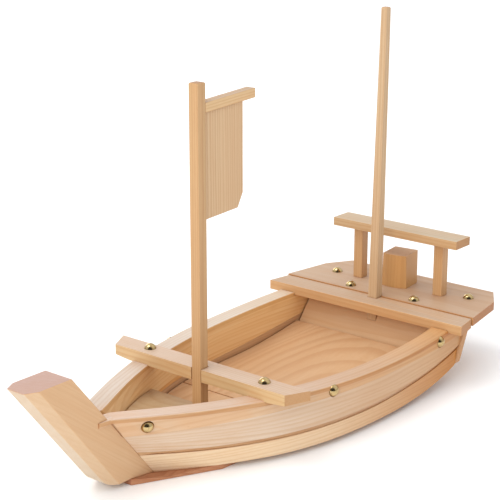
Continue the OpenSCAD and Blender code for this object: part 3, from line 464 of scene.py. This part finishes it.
def table_material():
    t = Tree(bpy.data.materials.new("table_top"))
    place = t.node("ShaderNodeTexCoord").outputs["Object"]
    colour = t.mix(t.noise(place, HAZE_PER_METRE, detail=3.0), TABLE_WHITE, TABLE_HAZE)
    grit = t.noise(place, GRIT_PER_METRE, detail=2.0)
    return t.surface(colour, TABLE_ROUGHNESS, grit, strength=0.03, distance=0.0002, Specular_IOR_Level=0.15)


def table_top():
    half = TABLE_SIZE / 2
    corners = [(-half, -half, TABLE_Z), (half, -half, TABLE_Z), (half, half, TABLE_Z), (-half, half, TABLE_Z)]
    mesh = bpy.data.meshes.new("table_top")
    mesh.from_pydata(corners, [], [(0, 1, 2, 3)])
    mesh.materials.append(table_material())
    obj = bpy.data.objects.new("table_top", mesh)
    bpy.context.scene.collection.objects.link(obj)


table_top()


def lamp(name, kind, toward, power, colour):
    """A lamp at the origin that shines towards a direction."""
    data = bpy.data.lights.new(name, kind)
    data.energy = power
    data.color = colour
    obj = bpy.data.objects.new(name, data)
    obj.rotation_mode = "QUATERNION"
    obj.rotation_quaternion = Vector(toward).to_track_quat("-Z", "Y")
    bpy.context.scene.collection.objects.link(obj)
    return obj


def panel(name, place, target, size, power, colour):
    """A rectangular lamp that shines from a place at a target."""
    obj = lamp(name, "AREA", Vector(target) - Vector(place), power, colour)
    obj.location = place
    obj.data.shape = "RECTANGLE"
    obj.data.size, obj.data.size_y = size
    return obj


KEY_ANGLE = 34
key = lamp("key", "SUN", toward=(0.36, -0.24, -0.90), power=0.95, colour=(1.0, 0.985, 0.96))
key.data.angle = math.radians(KEY_ANGLE)
fill = panel("fill_bow", place=(-1.20, -0.34, 0.60), target=(-0.10, 0.0, 0.05), size=(0.7, 0.7),
             power=6.8, colour=(1.0, 0.99, 0.98))
fill.visible_glossy = False
panel("back", place=(0.50, 1.15, 0.48), target=(0.02, 0.0, 0.06), size=(0.9, 0.5),
      power=3.0, colour=(0.97, 0.985, 1.0))

SKY_COLOUR, WHITE = (0.965, 0.98, 1.0, 1.0), (1.0, 1.0, 1.0, 1.0)
# the sky's strength at the horizon and overhead, and how high up the second one begins
SKY_LOW, SKY_HIGH, SKY_HIGH_FROM = 0.72, 1.05, 0.7
# where the dark side is, how dark it is, and how near a direction is to it where it begins and is full
DARK_SIDE, DARK_SHARE, DARK_BEGINS, DARK_FULL = (-0.72, -0.62, 0.31), 0.94, 0.60, 0.80


def studio():
    """A world that lights softly from all sides, more from above, and looks white to the camera.

    Polished metal mirrors it with one dark side.
    """
    world = bpy.data.worlds.new("studio")
    bpy.context.scene.world = world
    t = Tree(world)
    ray = t.node("ShaderNodeLightPath").outputs
    direction = t.node("ShaderNodeTexCoord").outputs["Generated"]
    sky = t.span(t.separate(direction)["Z"], 0.0, SKY_HIGH_FROM, SKY_LOW, SKY_HIGH)
    nearness = t.vector("DOT_PRODUCT", direction, DARK_SIDE)
    dark = t.span(nearness, DARK_BEGINS, DARK_FULL, 0.0, DARK_SHARE)
    lit = t.subtract(1.0, t.multiply(dark, ray["Is Glossy Ray"]))
    soft = t.node("ShaderNodeBackground")
    t.put(soft.inputs["Color"], SKY_COLOUR)
    t.put(soft.inputs["Strength"], t.multiply(sky, lit))
    white = t.node("ShaderNodeBackground")
    t.put(white.inputs["Color"], WHITE)
    t.put(white.inputs["Strength"], 1.0)
    pick = t.node("ShaderNodeMixShader")
    for socket, value in zip(pick.inputs, (ray["Is Camera Ray"], soft.outputs[0], white.outputs[0])):
        t.put(socket, value)
    t.put(t.node("ShaderNodeOutputWorld").inputs["Surface"], pick.outputs[0])


studio()

# camera fitted to the corners read off the photograph
MILLIMETRE = 0.001
CAMERA_PLACE = Vector((-749.12, -609.62, 411.36)) * MILLIMETRE
CAMERA_FORWARD = Vector((0.74279, 0.60520, -0.28637)).normalized()
CAMERA_RIGHT = Vector((0.63160, -0.77530, -0.00022)).normalized()
SENSOR_WIDTH_MM, FOCAL_LENGTH_MM = 36.0, 105.68
CLIP_START, CLIP_END = 0.05, 20.0

camera_data = bpy.data.cameras.new("camera")
camera_data.sensor_width = SENSOR_WIDTH_MM
camera_data.lens = FOCAL_LENGTH_MM
camera_data.clip_start, camera_data.clip_end = CLIP_START, CLIP_END
camera = bpy.data.objects.new("camera", camera_data)
bpy.context.scene.collection.objects.link(camera)
camera_up = CAMERA_RIGHT.cross(CAMERA_FORWARD)
turn = Matrix((CAMERA_RIGHT, camera_up, -CAMERA_FORWARD)).transposed()
camera.matrix_world = Matrix.Translation(CAMERA_PLACE) @ turn.to_4x4()
bpy.context.scene.camera = camera

bpy.context.scene.view_settings.view_transform = "Standard"
